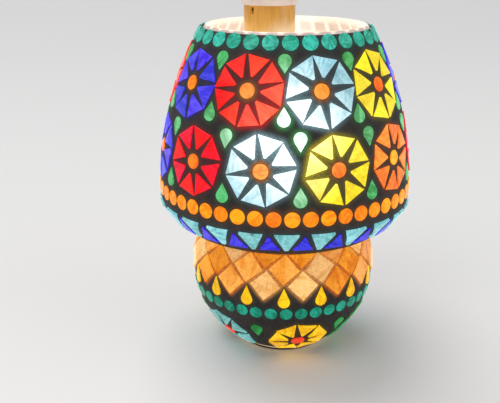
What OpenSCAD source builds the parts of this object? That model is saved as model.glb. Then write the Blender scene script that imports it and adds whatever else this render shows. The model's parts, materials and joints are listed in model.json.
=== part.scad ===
// Mosaic glass table lamp. A tiled glass shade stands on a tiled glass base, and a lamp holder
// with its bulb hangs in the mouth of the shade from a bracket that hooks over the rim.
// Millimetres, +Z up, origin at the middle of the foot, front towards -Y.

/* [Base] */
// Radius of the round base, over its tiles
base_r = 65; // [64:0.5:66]
// Height of the middle of the base
base_z = 58.7; // [58:0.1:59.5]
// Radius of the ground glass foot
foot_r = 31; // [28:0.5:33]

/* [Shade] */
// Radius of the shade at its widest, over its tiles
shade_r = 87; // [86.5:0.1:88]
// Height of the widest place of the shade
belly_z = 115.5; // [115:0.1:116]
// Radius of the shade at its rim, over its tiles
rim_r = 56.6; // [56.2:0.1:57]
// Height of the rim
rim_z = 228; // [227.5:0.1:228.5]
// Radius of the turn from the side of the shade to its underside
turn_r = 20; // [19:0.5:21]
// Slope of the underside of the shade from the vertical, in degrees
turn_slope = 48; // [46:1:50]

/* [Glass and tiles] */
// Wall of the blown glass
glass_t = 2; // [1.8:0.1:2.2]
// Thickness of the grout bed on the glass
grout_t = 0.8; // [0.6:0.1:0.9]
// Thickness of the glass tiles
tile_t = 1.8; // [1.5:0.1:2]

/* [Flowers] */
// Flowers in the upper ring of the shade
upper_flowers = 10; // [8:1:10]
// Radius of a flower in the upper ring
upper_flower_r = 22.8; // [20:0.2:22.8]
// Flowers in the lower ring of the shade
lower_flowers = 11; // [9:1:11]
// Radius of a flower in the lower ring
lower_flower_r = 22.3; // [20:0.1:22.3]
// Flowers round the base
base_flowers = 6; // [4:1:6]
// Radius of a flower on the base
base_flower_r = 21; // [18:0.5:21]

/* [Holder and bulb] */
// Place of the holder, left of the middle of the lamp
holder_x = -11; // [-12:0.5:-8]
// Radius of the amber skirt of the holder
skirt_r = 17; // [16.8:0.1:17.1]
// Radius of the round part of the bulb
bulb_r = 30; // [27:0.5:30]

/* [Hidden] */
$fn = 64;
DEG = 180 / PI;

// Every surface that carries tiles is a ring of arcs: [middle's radius, middle's height, arc radius].
side_r = ((shade_r - rim_r) ^ 2 + (rim_z - belly_z) ^ 2) / (2 * (shade_r - rim_r));
SIDE = [shade_r - side_r, belly_z, side_r];
TURN = [shade_r - turn_r, belly_z, turn_r];
BALL = [0, base_z, base_r];

tile_gap = 0.1;                       // air between a tile and the grout
grout_in = tile_t + tile_gap;         // depth of the grout's face under the tile faces
glass_in = grout_in + grout_t;        // depth of the glass's outer face
bore_in = glass_in + glass_t;         // depth of the glass's inner face
shade_low_z = 91;                     // bare lower edge of the shade's glass
grout_low_z = 92.2;                   // lower edge of the shade's grout

pad_t = 1.5;                          // felt under the foot
floor_t = 3;                          // glass under the inside of the base
shoulder_z = 94;                      // flat shoulder round the neck of the base
shoulder_r = 50;
neck_r = 45.7;
neck_top_z = 106;
seat_t = 2;                           // rubber seat on the shoulder
ring_r = 68;                          // gallery ring that carries the shade

dot_r = 5;                            // teal dots under the rim
dots_n = 31;
orange_r = 4.9;                       // orange dots round the belly
orange_n = 48;
base_dot_r = 4.2;                     // teal dots round the base
base_dots_n = 39;
triangles_n = 24;
diamond = 14.1;                       // side of the square tiles on the base
diamonds_n = 16;
shoulder_drops_n = 8;
squares_turn = -1.5;                  // first column of squares on the base, to the right of the front
upper_turn = -21;                     // first upper flower, to the right of the front
lower_turn = -12.2;
base_turn = 10.5;
upper_z = 195.5;                      // heights of the flower rings
lower_z = 149.7;
base_flower_tilt = -39;
centre_r = 4.7;                       // yellow round in the middle of a flower
petal_gap = 2;                        // half of the gap between petals, in degrees

// Holder and bulb heights
skirt_low_z = 211;
skirt_top_z = 240;
cap_wall = 2.3;
cap_r = 18.7;
cap_dome_z = 255;
gland_r = 8;
gland_bore_r = 3.8;
gland_top_z = 271;
insert_low_z = 236;
insert_top_z = 244;
pin_z = 224.7;
twist = 18;                           // turn that frees the bulb's pins, in degrees
bulb_z = 157;                         // middle of the round part
bulb_cap_top_z = 231;
plunger_y = 4.5;
strap_w = 9;
strap_t = 1.6;
strap_y = 21;                         // back face of the cap's pad
rim_gap = 0.05;
strap_z = rim_z + rim_gap + 1.15;     // underside of the strap, on its rubber pad
screw_zs = [247, 253.5];              // heights of the bracket's screws

// ---- Outlines ----

function reversed(points) = [for (i = [len(points) - 1:-1:0]) points[i]];
function at_z(surface, z) = asin((z - surface[1]) / surface[2]);
function ring_radius(surface, tilt) = surface[0] + surface[2] * cos(tilt);
function ring_height(surface, tilt) = surface[1] + surface[2] * sin(tilt);

// Points of an arc of a surface, moved inwards by depth, from one tilt to another.
function arc(surface, depth, from, to, steps) = [for (i = [0:steps])
    let (tilt = from + (to - from) * i / steps, r = surface[2] - depth)
    [surface[0] + r * cos(tilt), surface[1] + r * sin(tilt)]];

// The shade's outline at one depth, from the rim down to low_z on the sloping underside.
function shade_line(depth, low_z) =
    let (top = asin((rim_z - belly_z) / (side_r - depth)),
        side = arc(SIDE, depth, top, 0, 20),
        turn = arc(TURN, depth, 0, -turn_slope, 8),
        end = turn[8])
    concat(side, [for (i = [1:8]) turn[i]],
        [[end[0] - (end[1] - low_z) * tan(turn_slope), low_z]]);

module shade_shell(outer, inner, low_z) {
    rotate_extrude()
        polygon(concat(shade_line(outer, low_z), reversed(shade_line(inner, low_z))));
}

// A tear drop of the given width and length, round end down, tip up.
module drop(width, length) {
    r = width / 2;
    tangent = acos(r / (length - r));
    middle = r - length / 2;
    polygon(concat([[0, length / 2]], [for (i = [0:12])
        let (turn = tangent + (360 - 2 * tangent) * i / 12)
        [r * sin(turn), middle + r * cos(turn)]]));
}

// One petal of a flower of n petals: a wedge with a blunt tip, its outer edge straight.
module petal(n, r) {
    half = 180 / n - petal_gap;
    polygon([[-0.6, 0.38 * r], [0.6, 0.38 * r], [r * sin(half), r * cos(half)],
        [-r * sin(half), r * cos(half)]]);
}

// ---- Placing tiles ----

// A fixed, uneven number from -1 to 1 for each hand-laid tile.
function wobble(k) = sin(137.5 * k + 40 * sin(61 * k));

// A flat tile on a surface: tilt is the slope of the surface there, turn is from the front.
module on(surface, tilt, turn) {
    rotate([0, 0, turn - 90])
        translate([ring_radius(surface, tilt), 0, ring_height(surface, tilt)])
            rotate([0, 90 - tilt, 0])
                rotate([0, 0, 90])
                    translate([0, 0, -tile_t])
                        linear_extrude(tile_t) children();
}

// The petals of one flower, each flat on the surface at its own place. Hand-cut petals aren't
// quite alike, so each heading and each size is a little off.
module flower(surface, tilt, turn, n, r) {
    reach = 0.7 * r;
    for (i = [0:n - 1]) {
        heading = 360 * (i + 0.3) / n + 1.3 * wobble(i + turn);
        side = reach * sin(heading);
        rise = reach * cos(heading) - side * side * sin(tilt) / (2 * ring_radius(surface, tilt));
        petal_tilt = tilt + rise / surface[2] * DEG;
        swing = side / ring_radius(surface, petal_tilt) * DEG;
        on(surface, petal_tilt, turn + swing)
            rotate(-heading - swing * sin(tilt)) translate([0, -reach])
                petal(n, r * (0.98 + 0.02 * wobble(3 * i + turn)));
    }
}

// A ring of n like tiles at one height.
module ring(surface, tilt, n, turn = 0) {
    for (i = [0:n - 1]) on(surface, tilt, turn + 360 * i / n) children();
}

// ---- Base ----

module foot_pad() {
    color("black") difference() {
        cylinder(h = pad_t, r = foot_r - 0.5);
        translate([0, 0, -1]) cylinder(h = pad_t + 2, r = foot_r - 9);
    }
}

// Tilts of the base's glass where it meets the foot and the shoulder; the grout stops short of both.
glass_low = -acos(foot_r / (base_r - glass_in));
glass_high = asin((shoulder_z - 2 - base_z) / (base_r - glass_in));
grout_low = glass_low + 2.2;
grout_high = glass_high - 1.3;

function base_point(tilt) = arc(BALL, glass_in, tilt, tilt, 1)[0];

module base_glass() {
    inner_r = base_r - bore_in;
    inner_top = asin((shoulder_z - 3.4 - base_z) / inner_r);
    inner_low = asin((pad_t + floor_t - base_z) / inner_r);
    color("lightgray") rotate_extrude() polygon(concat(
        [[0, pad_t], [foot_r, pad_t]],
        [base_point(glass_low)], arc(BALL, glass_in, grout_low, grout_high, 20),
        [base_point(glass_high)],
        [[shoulder_r, shoulder_z], [neck_r, shoulder_z], [neck_r, neck_top_z],
            [neck_r - glass_t, neck_top_z], [neck_r - glass_t, shoulder_z - glass_t],
            [shoulder_r - 1.1, shoulder_z - glass_t]],
        arc(BALL, bore_in, inner_top, inner_low, 20),
        [[0, pad_t + floor_t]]));
}

module base_grout() {
    color("#1a1412") rotate_extrude()
        polygon(concat(arc(BALL, grout_in, grout_low, grout_high, 20),
            arc(BALL, glass_in, grout_high, grout_low, 20)));
}

module seat_ring() {
    color("dimgray") translate([0, 0, shoulder_z]) difference() {
        cylinder(h = seat_t, r = shoulder_r - 0.2);
        translate([0, 0, -1]) cylinder(h = seat_t + 2, r = neck_r + 0.6);
    }
}

// Base flowers whose place in the ring leaves the given rest of three.
module base_flower_set(rest) {
    for (i = [0:base_flowers - 1]) if (i % 3 == rest)
        flower(BALL, base_flower_tilt, base_turn + 360 * i / base_flowers, 8, base_flower_r);
}

module base_flowers_yellow() { color("gold") base_flower_set(0); }
module base_flowers_blue() { color("skyblue") base_flower_set(2); }
module base_flowers_green() { color("seagreen") base_flower_set(1); }

module base_flower_centres() {
    color("orangered") ring(BALL, base_flower_tilt, base_flowers, base_turn) circle(centre_r);
}

module base_leaf_drops() {
    color("green") ring(BALL, -28, base_flowers, base_turn + 180 / base_flowers)
        rotate(180) drop(8, 12);
}

module base_teal_dots() {
    color("teal") ring(BALL, -12.1, base_dots_n) circle(base_dot_r);
}

module base_yellow_drops() {
    color("gold") ring(BALL, -1, diamonds_n, squares_turn) drop(8, 14);
}

// Square tiles on their corners in three rows, the top one cut flat under the shoulder;
// every third tile has the same colour.
module base_tiles(rest) {
    for (row = [0:2]) for (i = [0:diamonds_n - 1]) if ((2 * i + row) % 3 == rest)
        on(BALL, 6.4 + 9.8 * row, squares_turn + (i + (row + 1) % 2 / 2) * 360 / diamonds_n)
            intersection() {
                rotate(45 + 4.5 * wobble(i + 5 * row)) square(diamond, center = true);
                translate([-20, -20]) square([40, row < 2 ? 40 : 19]);
            }
}

module base_tiles_cream() { color("wheat") base_tiles(0); }
module base_tiles_peach() { color("sandybrown") base_tiles(1); }
module base_tiles_amber() { color("orange") base_tiles(2); }

module base_shoulder_drops() {
    color("gold") ring(BALL, 28.9, shoulder_drops_n, squares_turn + 180 / diamonds_n)
        drop(7, 7.9);
}

// ---- Shade ----

module shade_glass() { color("lightgray") shade_shell(glass_in, bore_in, shade_low_z); }
module shade_grout() { color("#1a1412") shade_shell(grout_in, glass_in, grout_low_z); }

// Pressed ring that sits on the seat; the shade's sloping underside rests on its edge.
module gallery_ring() {
    low = shoulder_z + seat_t;
    inner = neck_r + 0.5;
    color("silver") rotate_extrude() polygon([[inner, low], [ring_r, low],
        [ring_r + 0.8, low + 2.8], [ring_r - 0.2, low + 2.8], [ring_r - 0.8, low + 1.2],
        [inner + 1.2, low + 1.2], [inner + 1.2, low + 5], [inner, low + 5]]);
}

module shade_teal_dots() {
    color("mediumturquoise") ring(SIDE, at_z(SIDE, 222.6), dots_n) circle(dot_r);
}

// Colours go round the upper ring in fours, and the last flower is blue.
function upper_colour(i) = i == upper_flowers - 1 ? 3 : i % 4;
// Colours go round the lower ring in fives, and the last flower is red.
function lower_colour(i) = i == lower_flowers - 1 ? 3 : i % 5;

module upper_set(colour, petals) {
    for (i = [0:upper_flowers - 1]) if (upper_colour(i) == colour)
        flower(SIDE, at_z(SIDE, upper_z), upper_turn + 360 * i / upper_flowers, petals,
            upper_flower_r);
}

module lower_set(colour) {
    for (i = [0:lower_flowers - 1]) if (lower_colour(i) == colour)
        flower(SIDE, at_z(SIDE, lower_z), lower_turn + 360 * i / lower_flowers, 8,
            lower_flower_r);
}

module upper_flowers_red() { color("red") upper_set(0, 9); }
module upper_flowers_white() { color("aliceblue") upper_set(1, 8); }
module upper_flowers_yellow() { color("yellow") upper_set(2, 8); }
module upper_flowers_blue() { color("royalblue") upper_set(3, 8); }
module lower_flowers_white() { color("aliceblue") lower_set(0); }
module lower_flowers_yellow() { color("yellow") lower_set(1); }
module lower_flowers_orange() { color("orange") lower_set(2); }
module lower_flowers_red() { color("crimson") lower_set(3); }
module lower_flowers_blue() { color("royalblue") lower_set(4); }

module upper_flower_centres() {
    color("orange") ring(SIDE, at_z(SIDE, upper_z), upper_flowers, upper_turn) circle(centre_r);
}

module lower_flower_centres() {
    color("orange") ring(SIDE, at_z(SIDE, lower_z), lower_flowers, lower_turn) circle(centre_r);
}

module shade_drops_upper() {
    color("lightgreen")
        ring(SIDE, at_z(SIDE, 211), upper_flowers, upper_turn + 180 / upper_flowers)
            rotate(180) drop(8.2, 12);
}

module shade_drops_middle() {
    color("lightgreen") {
        ring(SIDE, at_z(SIDE, 181.5), upper_flowers, upper_turn + 180 / upper_flowers)
            drop(8.2, 12);
        ring(SIDE, at_z(SIDE, 167.3), lower_flowers, lower_turn + 180 / lower_flowers)
            rotate(180) drop(8.2, 12);
    }
}

module shade_drops_lower() {
    color("lightgreen")
        ring(SIDE, at_z(SIDE, 134.3), lower_flowers, lower_turn + 180 / lower_flowers)
            drop(8.4, 12.4);
}

module shade_orange_dots() {
    color("orange") ring(SIDE, at_z(SIDE, 120.6), orange_n, 1) circle(orange_r);
}

module shade_triangles_pale() {
    color("powderblue") ring(TURN, -34, triangles_n, -1)
        polygon([[-7.6, 6.8], [7.6, 6.8], [1.2, -8.6], [-1.2, -8.6]]);
}

module shade_triangles_blue() {
    color("mediumblue") ring(TURN, -36, triangles_n, -1 + 180 / triangles_n)
        polygon([[-6.2, -8], [6.2, -8], [0.8, 5.5], [-0.8, 5.5]]);
}

// ---- Bracket, hooked over the rim behind the holder ----

// Frame at the rim: X points outwards from the lamp's middle, at the end of the strap.
module at_rim() {
    rotate([0, 0, atan2(rim_r - 3, holder_x)]) children();
}

// A block in that frame, between two radii and two heights, across the strap.
module rim_block(r0, r1, z0, z1) {
    at_rim() translate([r0, -strap_w / 2, z0]) cube([r1 - r0, strap_w, z1 - z0]);
}

module bracket_arm() {
    top = strap_z + strap_t;
    color("silver") difference() {
        union() {
            translate([holder_x - strap_w / 2, strap_y, strap_z])
                cube([strap_w, strap_t, 256.5 - strap_z]);
            translate([holder_x - strap_w / 2, strap_y, strap_z]) cube([strap_w, 33, strap_t]);
            rim_block(48.2, 61.8, strap_z, top);
            rim_block(48.2, 49.8, 214, top);
            rim_block(60.2, 61.8, 223.5, top);
        }
        for (z = screw_zs) translate([holder_x, strap_y - 1, z])
            rotate([-90, 0, 0]) cylinder(h = strap_t + 2, r = 1.6);
    }
}

module rim_pad() {
    color("dimgray") union() {
        rim_block(49.8, 50.8, 216, strap_z);
        rim_block(49.8, 60.2, rim_z + rim_gap, strap_z);
        rim_block(59.2, 60.2, 224, strap_z);
    }
}

module bracket_screws() {
    color("gray") for (z = screw_zs) translate([holder_x, 0, z]) rotate([-90, 0, 0]) {
        translate([0, 0, 17.3]) cylinder(h = strap_y + strap_t - 17.3, r = 1.5);
        translate([0, 0, strap_y + strap_t]) cylinder(h = 1.8, r = 2.7);
    }
}

// ---- Holder ----

module holder_cap() {
    dome = [for (i = [0:8]) [gland_r + (cap_r - gland_r) * cos(90 * i / 8),
        cap_dome_z + 10 * sin(90 * i / 8)]];
    inner_r = cap_r - cap_wall;
    hollow = [for (i = [0:8]) [gland_r + (inner_r - gland_r) * cos(90 * i / 8),
        cap_dome_z - 1 + 8.5 * sin(90 * i / 8)]];
    low = skirt_top_z + 0.1;
    color("white") translate([holder_x, 0, 0]) difference() {
        union() {
            difference() {
                union() {
                    rotate_extrude() polygon(concat([[0, low], [cap_r, low]], dome,
                        [[gland_r, gland_top_z], [0, gland_top_z]]));
                    translate([-7, 0, 244]) cube([14, strap_y, 12.5]);
                }
                rotate_extrude() polygon(concat([[0, low - 1], [inner_r, low - 1]], hollow,
                    [[0, hollow[8][1]]]));
            }
            for (x = [-6, 6]) translate([x, 0, 260]) cylinder(h = 3, r = 2.2);
        }
        translate([0, 0, 255]) cylinder(h = 20, r = gland_bore_r);
        for (x = [-6, 6]) translate([x, 0, 259]) cylinder(h = 3.3, r = 1.35);
        for (z = screw_zs) translate([0, 17.1, z]) rotate([-90, 0, 0]) cylinder(h = 5, r = 1.55);
    }
}

module holder_skirt() {
    color("goldenrod") translate([holder_x, 0, 0]) difference() {
        union() {
            translate([0, 0, skirt_low_z])
                cylinder(h = skirt_top_z - skirt_low_z, r = skirt_r);
            translate([0, 0, skirt_low_z]) cylinder(h = 2, r = skirt_r + 0.5);
        }
        translate([0, 0, skirt_low_z - 1]) cylinder(h = 40, r = skirt_r - 1.8);
        rotate([0, 0, -134]) translate([14, -1.7, 234.5]) cube([6, 3.4, 4.3]);
    }
}

module holder_insert() {
    color("saddlebrown") translate([holder_x, 0, 0]) difference() {
        union() {
            translate([0, 0, insert_low_z]) cylinder(h = insert_top_z - insert_low_z, r = 14.8);
            translate([0, 0, skirt_top_z + 0.05]) cylinder(h = 3, r = 16);
        }
        for (y = [-plunger_y, plunger_y]) translate([0, y, 0]) {
            translate([0, 0, insert_low_z - 1]) cylinder(h = 5, r = 1.68);
            translate([0, 0, 238.1]) cylinder(h = 10, r = 3);
        }
    }
}

// Sleeve with two slots for the bulb's pins: straight up, then round to the locked place.
module bayonet_sleeve() {
    inner = 11.3;
    color("silver") translate([holder_x, 0, 0]) difference() {
        union() {
            translate([0, 0, 213]) cylinder(h = insert_low_z - 213, r = inner + 1);
            translate([0, 0, insert_low_z - 1.1]) cylinder(h = 1.1, r = 14.6);
        }
        translate([0, 0, 200]) cylinder(h = 50, r = inner);
        for (side = [0, 180]) rotate([0, 0, side]) {
            translate([0, 0, pin_z - 1.5]) linear_extrude(3)
                polygon([[0, 0], for (a = [-7, 1, 9, 17, 25]) [20 * cos(a), 20 * sin(a)]]);
            rotate([0, 0, twist]) translate([5, -1.6, 212]) cube([10, 3.2, pin_z + 1.5 - 212]);
        }
    }
}

module terminals() {
    color("gold") translate([holder_x, 0, insert_top_z]) for (side = [-1, 1]) difference() {
        union() {
            translate([-4, side > 0 ? 1 : -11, 0]) cube([8, 10, 1.2]);
            translate([-3, side > 0 ? 6.5 : -11, 0]) cube([6, 4.5, 7]);
        }
        translate([-10, side * 8.75, 3.4]) rotate([0, 90, 0]) cylinder(h = 20, r = 1.1);
        translate([0, side * 8.75, 4.6]) cylinder(h = 5, r = 1.35);
    }
}

module terminal_screws() {
    color("gray") for (side = [-1, 1]) translate([holder_x, side * 8.75, insert_top_z]) {
        translate([0, 0, 4.7]) cylinder(h = 2.3, r = 1.3);
        translate([0, 0, 7]) cylinder(h = 1.4, r = 2.1);
    }
}

module cord_grip() {
    color("white") translate([holder_x, 0, 257]) difference() {
        translate([-9, -3, 0]) cube([18, 6, 3]);
        for (x = [-6, 6]) translate([x, 0, -1]) cylinder(h = 5, r = 1.35);
        translate([0, 3.4, -1]) cylinder(h = 5, r = 3);
    }
}

module grip_screws() {
    color("gray") for (x = [-6, 6]) translate([holder_x + x, 0, 255.4]) {
        cylinder(h = 1.6, r = 2.3);
        cylinder(h = 6.6, r = 1.3);
    }
}

module plunger(side) {
    color("gold") translate([holder_x, side * plunger_y, 0]) {
        translate([0, 0, bulb_cap_top_z + 0.85]) cylinder(h = 6.5, r = 1.6);
        translate([0, 0, 238.3]) cylinder(h = 1.2, r = 2.92);
    }
}

module plunger_left() { plunger(-1); }
module plunger_right() { plunger(1); }

// A coil of round wire, as rings of points swept along a helix.
module spring(side) {
    coil = 2.2;
    wire = 0.28;
    low = 239.5 + wire;
    high = insert_top_z - wire;
    turns = 4;
    steps = 64;
    sides = 6;
    points = [for (i = [0:steps]) let (turn = 360 * turns * i / steps,
        z = low + (high - low) * i / steps) for (k = [0:sides - 1])
        let (a = 360 * k / sides, r = coil + wire * cos(a))
        [r * cos(turn), r * sin(turn), z + wire * sin(a)]];
    walls = [for (i = [0:steps - 1]) for (k = [0:sides - 1])
        let (n = (k + 1) % sides)
        [i * sides + k, (i + 1) * sides + k, (i + 1) * sides + n, i * sides + n]];
    ends = [[for (k = [0:sides - 1]) k], [for (k = [sides - 1:-1:0]) steps * sides + k]];
    color("silver") translate([holder_x, side * plunger_y, 0])
        polyhedron(points, concat(walls, ends), convexity = 10);
}

module spring_left() { spring(-1); }
module spring_right() { spring(1); }

// ---- Bulb ----

// Outline of the glass, from the tip up to the cap: a ball, then a neck that narrows in a curve.
function bulb_line(depth) =
    let (r = bulb_r - depth, neck = 12.6 - depth,
        p0 = [r * cos(42), bulb_z + r * sin(42)], p2 = [neck, 204.8],
        p1 = [neck, p0[1] + (p0[0] - neck) / tan(42)])
    concat([for (i = [0:15]) [r * cos(-90 + 132 * i / 15), bulb_z + r * sin(-90 + 132 * i / 15)]],
        [for (i = [1:8]) let (t = i / 8) (1 - t) ^ 2 * p0 + 2 * t * (1 - t) * p1 + t ^ 2 * p2]);

module bulb_glass() {
    color("white") translate([holder_x, 0, 0]) rotate_extrude()
        polygon(concat(bulb_line(0), reversed(bulb_line(0.9))));
}

module bulb_cap() {
    color("silver") translate([holder_x, 0, 0]) rotate_extrude() polygon([[12, 205], [13.2, 205],
        [13.2, 207], [11, 210], [11, bulb_cap_top_z], [10.5, bulb_cap_top_z], [10.5, 209.7],
        [12, 207]]);
}

module cap_pins() {
    color("gold") for (side = [0, 180]) translate([holder_x, 0, pin_z]) rotate([0, 0, side])
        rotate([0, 90, 0]) translate([0, 0, 11.05]) cylinder(h = 2.2, r = 1);
}

module cap_insulator() {
    color("black") translate([holder_x, 0, bulb_cap_top_z - 1.8]) cylinder(h = 1.8, r = 10.4);
}

module cap_contacts() {
    color("silver") for (y = [-plunger_y, plunger_y])
        translate([holder_x, y, bulb_cap_top_z]) cylinder(h = 0.8, r = 2.4);
}

// Glass stem inside the bulb, flared where it joins the neck.
module bulb_stem() {
    color("lightgray") translate([holder_x, 0, 0]) rotate_extrude()
        polygon([[0, 180], [3.5, 180], [3.5, 200], [10.8, 204.6], [0, 204.6]]);
}

module lead_wires() {
    color("gray") for (side = [-1, 1]) translate([holder_x + side * 2, 0, 179.9])
        rotate([0, 180 - side * 20, 0]) cylinder(h = 18, r = 0.4);
}

module filament() {
    color("gray") translate([holder_x - 7.4, 0, 162]) rotate([0, 90, 0]) cylinder(h = 14.8, r = 0.5);
}

foot_pad();
base_glass();
base_grout();
seat_ring();
base_flowers_yellow();
base_flowers_blue();
base_flowers_green();
base_flower_centres();
base_leaf_drops();
base_teal_dots();
base_yellow_drops();
base_tiles_cream();
base_tiles_peach();
base_tiles_amber();
base_shoulder_drops();
shade_glass();
shade_grout();
gallery_ring();
shade_teal_dots();
upper_flowers_blue();
upper_flowers_red();
upper_flowers_white();
upper_flowers_yellow();
upper_flower_centres();
lower_flowers_red();
lower_flowers_white();
lower_flowers_yellow();
lower_flowers_orange();
lower_flowers_blue();
lower_flower_centres();
shade_drops_upper();
shade_drops_middle();
shade_drops_lower();
shade_orange_dots();
shade_triangles_pale();
shade_triangles_blue();
bracket_arm();
rim_pad();
bracket_screws();
holder_cap();
holder_skirt();
holder_insert();
bayonet_sleeve();
terminals();
terminal_screws();
cord_grip();
grip_screws();
plunger_left();
plunger_right();
spring_left();
spring_right();
bulb_glass();
bulb_cap();
cap_pins();
cap_insulator();
cap_contacts();
bulb_stem();
lead_wires();
filament();
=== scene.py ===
import json
import math
import random

import bmesh
import bpy
import numpy as np
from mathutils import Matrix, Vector
from mathutils.bvhtree import BVHTree

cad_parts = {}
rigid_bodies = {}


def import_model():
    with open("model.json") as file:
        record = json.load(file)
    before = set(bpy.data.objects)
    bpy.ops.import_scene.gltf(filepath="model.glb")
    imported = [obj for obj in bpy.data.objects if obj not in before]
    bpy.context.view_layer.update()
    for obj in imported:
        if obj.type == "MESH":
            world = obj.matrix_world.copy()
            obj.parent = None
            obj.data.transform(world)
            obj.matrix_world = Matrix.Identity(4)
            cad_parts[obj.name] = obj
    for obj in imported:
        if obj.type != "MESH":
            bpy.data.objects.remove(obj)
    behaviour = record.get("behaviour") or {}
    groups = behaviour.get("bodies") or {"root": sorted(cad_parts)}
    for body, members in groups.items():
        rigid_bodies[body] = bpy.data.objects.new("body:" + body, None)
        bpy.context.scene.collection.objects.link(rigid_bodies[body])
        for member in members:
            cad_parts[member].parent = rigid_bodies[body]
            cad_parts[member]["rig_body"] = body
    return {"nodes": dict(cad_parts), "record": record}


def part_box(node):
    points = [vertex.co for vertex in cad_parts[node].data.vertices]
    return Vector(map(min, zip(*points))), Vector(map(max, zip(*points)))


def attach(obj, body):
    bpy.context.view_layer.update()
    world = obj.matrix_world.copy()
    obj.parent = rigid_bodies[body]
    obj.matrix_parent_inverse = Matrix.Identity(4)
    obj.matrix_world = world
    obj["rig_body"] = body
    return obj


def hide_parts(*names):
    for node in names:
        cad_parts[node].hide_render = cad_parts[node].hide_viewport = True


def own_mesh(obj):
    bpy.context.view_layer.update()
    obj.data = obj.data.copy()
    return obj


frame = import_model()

bl_info = {
    "name": "Mosaic Glass Lamp",
    "version": (1, 0, 0),
    "blender": (4, 5, 0),
    "location": "View3D > Sidebar > Lamp",
    "description": "Builds the finished look of a mosaic glass table lamp on its frame",
    "category": "Object",
}

MM = 0.001
NODES = frame["nodes"]
RECORD = frame["record"]
SLOTS = {part["node"]: part["material_slot"] for part in RECORD["subparts"]}
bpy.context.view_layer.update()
RIM_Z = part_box("shade_glass")[1].z
BULB_LOW, BULB_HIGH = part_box("bulb_glass")
BULB_R = (BULB_HIGH.x - BULB_LOW.x) / 2
HOLDER_X = (BULB_HIGH.x + BULB_LOW.x) / 2
BULB_MIDDLE = Vector((HOLDER_X, 0, BULB_LOW.z + BULB_R))
# The wall is painted brightest here, a painted pool of the bulb's light in front of the bulb and a
# little above its middle.
HOT_PLACE = Vector((HOLDER_X + 7 * MM, -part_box("shade_glass")[1].x, BULB_MIDDLE.z + 14 * MM))
# The bulb's light is painted on the shade as a round spot, which fades between these distances
# from the hot place, and as a faint band, which fades with height above and below it. In metres.
SPOT_NEAR = 0.004
SPOT_FAR = 0.058
BAND_FAR = 0.062
BAND_GLOW = 0.09
# How much more the painted glow of the grout is at the painted hot place.
HALO_SPOT_GLOW = 11
# Share and power of the glow that the squares of the base give their grout. Other tiles have 1.
SQUARE_GLOW = (20.0, 1.5)
# The halo reaches less far on the base.
BASE_REACH = 0.7

GROUT_BACK = 0.4 * MM  # how far the grout's skin goes in behind its face
GROUT_TRIM = 2.3 * MM  # bare glass between the grout and the rim
TURN_HEIGHT = 6 * MM  # the grout rises over this height under the belly
SHADOW_EDGE = 0.24 * MM  # how far a tile's shadow on the glass goes past the tile
SHADOW_FADE = 0.1 * MM
SHADOW_TRIM = 0.3 * MM  # no shadow falls on this much of the rim
BASE_GROUT_STEPS = 384
SHADE_GROUT_STEPS = 440
SHADE_GLASS_STEPS = 360

CAMERA_PLACE = (-0.0239, -0.514, 0.2807)
CAMERA_DOWN = 19.11  # degrees below level
LENS = 54.72
LIGHT_AIM = Vector((0, 0, 0.13))

# Places of the colour sockets of a mix node.
MIX_A, MIX_B, MIX_RESULT = 6, 7, 2

# The colour of the glass in each node of tiles, as a name in the lamp's settings.
SHADE_TILES = {
    "shade_teal_dots": "teal",
    "upper_flowers_blue": "blue",
    "upper_flowers_red": "red",
    "upper_flowers_white": "ice",
    "upper_flowers_yellow": "yellow",
    "upper_flower_centres": "tangerine",
    "lower_flowers_red": "crimson",
    "lower_flowers_white": "ice",
    "lower_flowers_yellow": "yellow",
    "lower_flowers_orange": "orange",
    "lower_flowers_blue": "blue",
    "lower_flower_centres": "tangerine",
    "shade_drops_upper": "green",
    "shade_drops_middle": "green",
    "shade_drops_lower": "green",
    "shade_orange_dots": "amber_dot",
    "shade_triangles_pale": "pale_blue",
    "shade_triangles_blue": "blue",
}
BASE_TILES = {
    "base_flowers_yellow": "gold",
    "base_flowers_blue": "pale_teal",
    "base_flowers_green": "leaf",
    "base_flower_centres": "vermilion",
    "base_leaf_drops": "leaf",
    "base_teal_dots": "deep_teal",
    "base_yellow_drops": "gold",
    "base_tiles_cream": "cream",
    "base_tiles_peach": "peach",
    "base_tiles_amber": "honey",
    "base_shoulder_drops": "gold",
}
# Colours that some glass is painted in the painted light right in front of the bulb; the rest is
# painted warm white.
HOT_GLASS = {
    "red": (1.0, 0.26, 0.13),
    "crimson": (1.0, 0.12, 0.2),
    "green": (0.78, 1.0, 0.86),
    "ice": (0.93, 1.0, 1.0),
}
WARM_WHITE = (1.0, 0.97, 0.88)
ROUND_TILES = {
    "shade_teal_dots",
    "upper_flower_centres",
    "lower_flower_centres",
    "shade_orange_dots",
    "base_flower_centres",
    "base_teal_dots",
}


def linear(*parts):
    """A colour given as 0 to 255 screen values, as scene values."""
    return tuple(
        p / 255 / 12.92 if p <= 10 else ((p / 255 + 0.055) / 1.055) ** 2.4 for p in parts
    )


def colour(name, what, *screen):
    """A colour setting."""
    return bpy.props.FloatVectorProperty(
        name=name, description=what, subtype="COLOR", min=0, max=1, default=linear(*screen)
    )


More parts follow.
